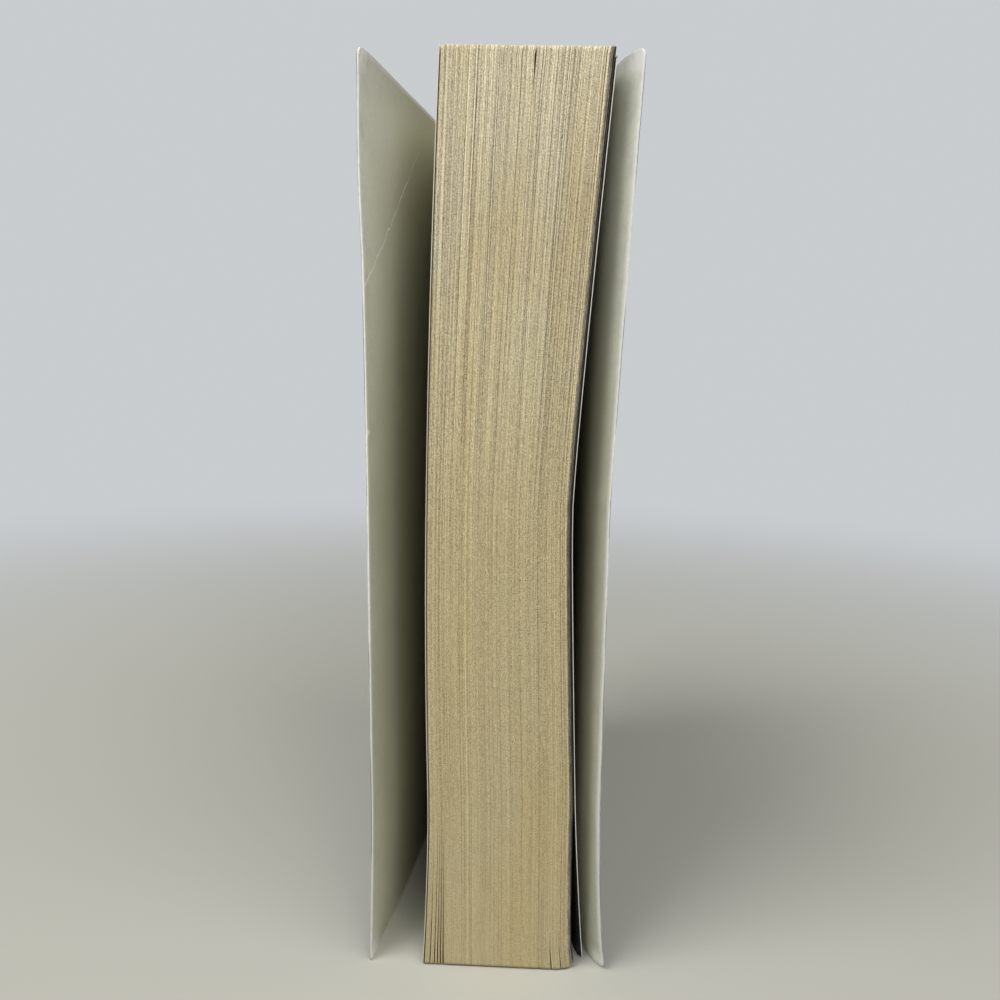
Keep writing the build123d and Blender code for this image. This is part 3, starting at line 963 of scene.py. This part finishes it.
stack, dark = leaf_stack()
store_tones(stack, mixed_tones(LEAVES - DARK_LEAVES))
store_tones(dark, DARK_TONES)
first_leaf, last_leaf = loose_leaves()
for piece in (stack, dark, first_leaf, last_leaf):
    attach(piece, "pages")
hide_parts("page_block")

card = (cover_outside(), cover_inside(), card_edge())
front = cover_sheet("front_cover_sheet", -1, FRONT_SPLAY, FRONT_CURL, FRONT_CORNERS, True, card)
back = cover_sheet("back_cover_sheet", 1, BACK_SPLAY, BACK_CURL, BACK_CORNERS, False, card)
for piece, body, side in ((front, "front_cover", -1), (back, "back_cover", 1)):
    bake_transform(piece)
    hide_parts(body)
spine = spine_panel(card)
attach(spine, "pages")
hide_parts("cover_spine")

glue = bpy.data.objects["spine_glue"]
glue.data.materials.clear()
glue.data.materials.append(hot_glue())


# Camera at the photograph's viewing angle, in millimetres but for its near clip in metres

CAMERA_PLACE = (6.38, -234.29, 124.43)
CAMERA_LENS = 34.65
CAMERA_SENSOR = 36.0
CAMERA_NEAR = 0.01
CAMERA_YAW = math.radians(2.0)
CAMERA_PITCH = math.radians(8.75)
CAMERA_ROLL = math.radians(1.412)


def add_camera():
    """The camera, level but for its pitch and a small roll."""
    ahead = Vector((
        -math.sin(CAMERA_YAW) * math.cos(CAMERA_PITCH),
        math.cos(CAMERA_YAW) * math.cos(CAMERA_PITCH),
        -math.sin(CAMERA_PITCH),
    ))
    level = Vector((math.cos(CAMERA_YAW), math.sin(CAMERA_YAW), 0))
    under = ahead.cross(level)
    right = math.cos(CAMERA_ROLL) * level - math.sin(CAMERA_ROLL) * under
    down = math.sin(CAMERA_ROLL) * level + math.cos(CAMERA_ROLL) * under
    data = bpy.data.cameras.new("camera")
    data.lens = CAMERA_LENS
    data.sensor_width = CAMERA_SENSOR
    data.clip_start = CAMERA_NEAR
    camera = add_object("camera", data)
    turn = Matrix((right, -down, -ahead)).transposed()
    camera.matrix_world = Matrix.Translation(Vector(CAMERA_PLACE) * MM) @ turn.to_4x4()
    bpy.context.scene.camera = camera


# Floor and light, in metres and watts. Each lamp has its place, its size and its power.

BACKDROP = (0.58, 0.605, 0.625)
FLOOR_HALF = 6.0
FLOOR_FADE = (0.12, 0.6)
LAMPS = {
    "left_lamp": ((-0.6, -0.5, 1.2), 0.7, 13.0),
    "front_lamp": ((0.4, -1.4, 0.65), 0.6, 9.0),
    "right_lamp": ((0.6, -0.5, 1.2), 0.7, 4.5),
    "top_lamp": ((0.0, -0.55, 1.15), 1.0, 3.5),
}
LAMP_AIM = (0, 0, BOOK_HEIGHT / 2 * MM)
AROUND_COLOUR = (0.95, 0.97, 1)
AROUND_STRENGTH = 0.05


def add_floor():
    """A wide pale floor, which passes into the backdrop's colour away from the book."""
    shader = Shader("floor", roughness=0.6, specular=0.25)
    place = shader.object_place()
    cloud = shader.noise(place, (2.5, 2.5, 2.5))
    grey = (0.46, 0.457, 0.397)
    pale_grey = (0.485, 0.48, 0.422)
    material = shader.colour(shader.mix(shader.fade(cloud, 0.3, 0.7), grey, pale_grey))
    distance = shader.node("VectorMath", place, operation="LENGTH").outputs["Value"]
    path = shader.node("LightPath").outputs
    seen = shader.math("MAXIMUM", path["Is Camera Ray"], path["Is Glossy Ray"])
    seen = shader.math("MAXIMUM", seen, path["Is Transmission Ray"])
    share = shader.math("MULTIPLY", shader.fade(distance, *FLOOR_FADE), seen)
    glow = shader.node("Emission", BACKDROP)
    both = shader.node("MixShader", share, shader.surface.outputs[0], glow.outputs[0])
    shader.put(both.outputs[0], shader.tree.nodes["Material Output"].inputs["Surface"])
    mesh = bpy.data.meshes.new("floor")
    corners = [(x * FLOOR_HALF, y * FLOOR_HALF, 0) for x, y in ((-1, -1), (1, -1), (1, 1), (-1, 1))]
    mesh.from_pydata(corners, [], [(0, 1, 2, 3)])
    mesh.materials.append(material)
    floor = add_object("floor", mesh)


def add_lamp(name, place, size, power):
    """A square soft lamp, turned towards the book."""
    data = bpy.data.lights.new(name, "AREA")
    data.size = size
    data.energy = power
    lamp = add_object(name, data)
    lamp.location = place
    lamp.rotation_euler = (Vector(LAMP_AIM) - Vector(place)).to_track_quat("-Z", "Y").to_euler()


def add_world():
    """Even light from all round, and the backdrop's colour where the camera sees past the floor."""
    world = bpy.data.worlds.new("studio")
    world.use_nodes = True
    tree = world.node_tree
    around = tree.nodes["Background"]
    around.inputs["Color"].default_value = (*AROUND_COLOUR, 1)
    around.inputs["Strength"].default_value = AROUND_STRENGTH
    behind = tree.nodes.new("ShaderNodeBackground")
    behind.inputs["Color"].default_value = (*BACKDROP, 1)
    path = tree.nodes.new("ShaderNodeLightPath")
    seen = path.outputs["Is Camera Ray"]
    for kind in ("Is Glossy Ray", "Is Transmission Ray"):
        either = tree.nodes.new("ShaderNodeMath")
        either.operation = "MAXIMUM"
        tree.links.new(seen, either.inputs[0])
        tree.links.new(path.outputs[kind], either.inputs[1])
        seen = either.outputs[0]
    both = tree.nodes.new("ShaderNodeMixShader")
    tree.links.new(seen, both.inputs[0])
    tree.links.new(around.outputs[0], both.inputs[1])
    tree.links.new(behind.outputs[0], both.inputs[2])
    tree.links.new(both.outputs[0], tree.nodes["World Output"].inputs["Surface"])
    bpy.context.scene.world = world


add_camera()
add_floor()
for name, lamp in LAMPS.items():
    add_lamp(name, *lamp)
add_world()
bpy.context.scene.view_settings.view_transform = "Standard"
